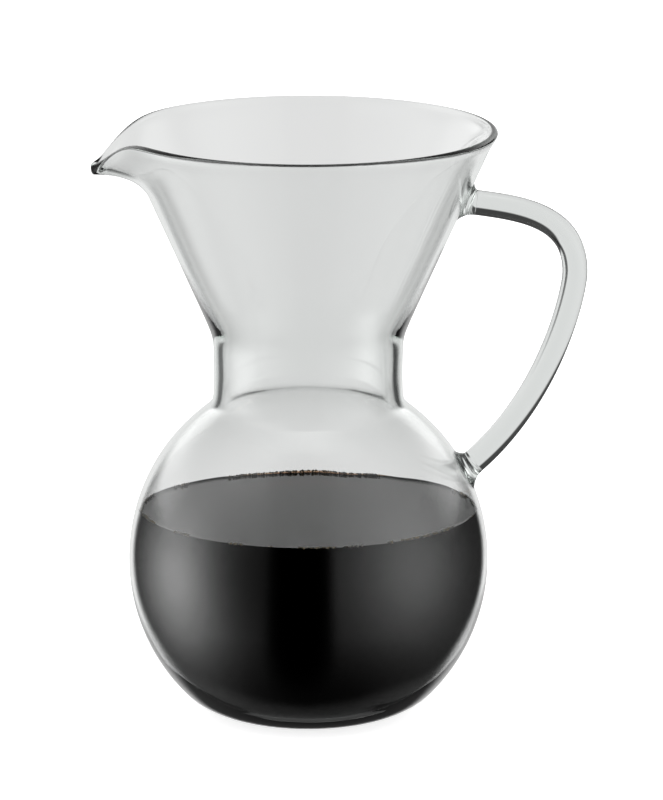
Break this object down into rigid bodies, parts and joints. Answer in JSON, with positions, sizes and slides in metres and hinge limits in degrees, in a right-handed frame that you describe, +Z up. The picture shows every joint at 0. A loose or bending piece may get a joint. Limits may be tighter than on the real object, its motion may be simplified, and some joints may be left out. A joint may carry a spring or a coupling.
{
  "type": "glass coffee carafe",
  "caption": "Glass pour-over coffee carafe with a round bowl, narrow throat, wide conical mouth with a drawn spout, curved rod handle, and coffee inside.",
  "frame": {"origin": "centre of the flat foot that the carafe stands on", "axes": "+Z up along the vessel's axis; the spout points along -X and the handle along +X"},
  "size_m": [0.178, 0.1356, 0.2145],
  "materials": {
    "vessel_glass": "clear blown borosilicate glass, polished",
    "handle_glass": "clear drawn glass rod, polished",
    "weld_glass": "clear fused glass, slightly wavy",
    "coffee": "still black coffee, mirror-smooth top"
  },
  "bodies": {
    "root": {"glass_vessel": "vessel_glass", "handle_rod": "handle_glass", "upper_weld": "weld_glass", "lower_weld": "weld_glass", "coffee": "coffee"}
  },
  "joints": []
}
